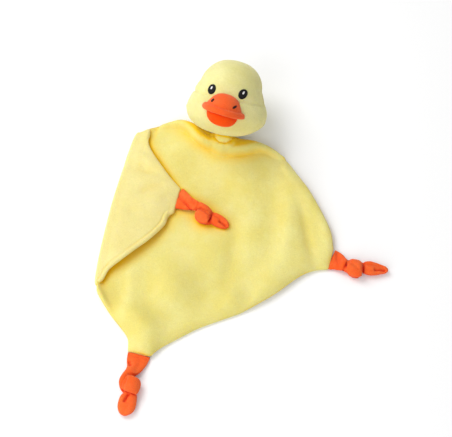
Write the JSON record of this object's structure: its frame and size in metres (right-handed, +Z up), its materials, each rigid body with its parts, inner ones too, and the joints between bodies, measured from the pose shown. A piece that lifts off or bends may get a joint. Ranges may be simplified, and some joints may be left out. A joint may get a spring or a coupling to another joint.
{
  "type": "duck comfort blanket",
  "caption": "Square two-layer velour comfort blanket with a stuffed duck's head at one corner and knotted tags at the others.",
  "frame": {"origin": "on the surface that the toy lies on, below the middle of its bounding box", "axes": "+Z up from that surface, +Y from the bottom tag towards the head, +X towards the right tag"},
  "size_m": [0.3156, 0.3872, 0.0887],
  "materials": {
    "velour_yellow": "short-pile velour, pale yellow",
    "head_yellow": "short-pile velour, light yellow",
    "velour_orange": "short-pile velour, orange",
    "bright_orange": "short-pile velour, bright orange",
    "fibrefill": "loose polyester fibrefill",
    "thread_black": "satin-stitched embroidery thread",
    "thread_white": "satin-stitched embroidery thread",
    "thread_brown": "satin-stitched embroidery thread"
  },
  "bodies": {
    "blanket": {"blanket_front_panel": "velour_yellow", "blanket_back_panel": "velour_yellow"},
    "neck": {"neck_gather": "velour_yellow", "neck_thread": "velour_yellow"},
    "head": {"head_forehead_panel": "head_yellow", "head_chin_panel": "head_yellow", "head_back_panel": "head_yellow", "head_stuffing": "fibrefill", "beak_upper": "velour_orange", "beak_upper_stuffing": "fibrefill", "beak_lower": "bright_orange", "beak_lower_stuffing": "fibrefill", "left_eye": "thread_black", "left_eye_highlight": "thread_white", "right_eye": "thread_black", "right_eye_highlight": "thread_white", "left_nostril": "thread_brown", "right_nostril": "thread_brown"},
    "left_corner": {"corner_front_panel": "velour_yellow", "corner_back_panel": "velour_yellow"},
    "left_tag_body": {"left_tag": "velour_orange"},
    "right_tag_body": {"right_tag": "velour_orange"},
    "bottom_tag_body": {"bottom_tag": "velour_orange"}
  },
  "joints": [
    {"name": "neck_nod", "type": "hinge", "parent": "blanket", "child": "neck", "pos_m": [-0.02032, 0.12234, 0.02427], "axis": [0.9661, -0.258, 0.0081], "range_deg": [0, 35]},
    {"name": "head_turn", "type": "hinge", "parent": "neck", "child": "head", "pos_m": [-0.02032, 0.12234, 0.02427], "axis": [0.2079, 0.7963, 0.568], "range_deg": [-30, 30]},
    {"name": "left_corner_fold", "type": "hinge", "parent": "blanket", "child": "left_corner", "pos_m": [-0.14182, 0.04084, 0.00445], "axis": [-0.1799, -0.9837, 0], "range_deg": [0, 175]},
    {"name": "left_tag_swing", "type": "hinge", "parent": "left_corner", "child": "left_tag_body", "pos_m": [-0.07057, 0.05084, 0.00905], "axis": [-0.5, -0.866, 0], "range_deg": [0, 100]},
    {"name": "right_tag_swing", "type": "hinge", "parent": "blanket", "child": "right_tag_body", "pos_m": [0.09468, -0.02266, 0.00445], "axis": [-0.2419, -0.9703, 0], "range_deg": [0, 100]},
    {"name": "bottom_tag_swing", "type": "hinge", "parent": "blanket", "child": "bottom_tag_body", "pos_m": [-0.10782, -0.13041, 0.00445], "axis": [-0.9703, 0.2419, 0], "range_deg": [0, 100]}
  ]
}
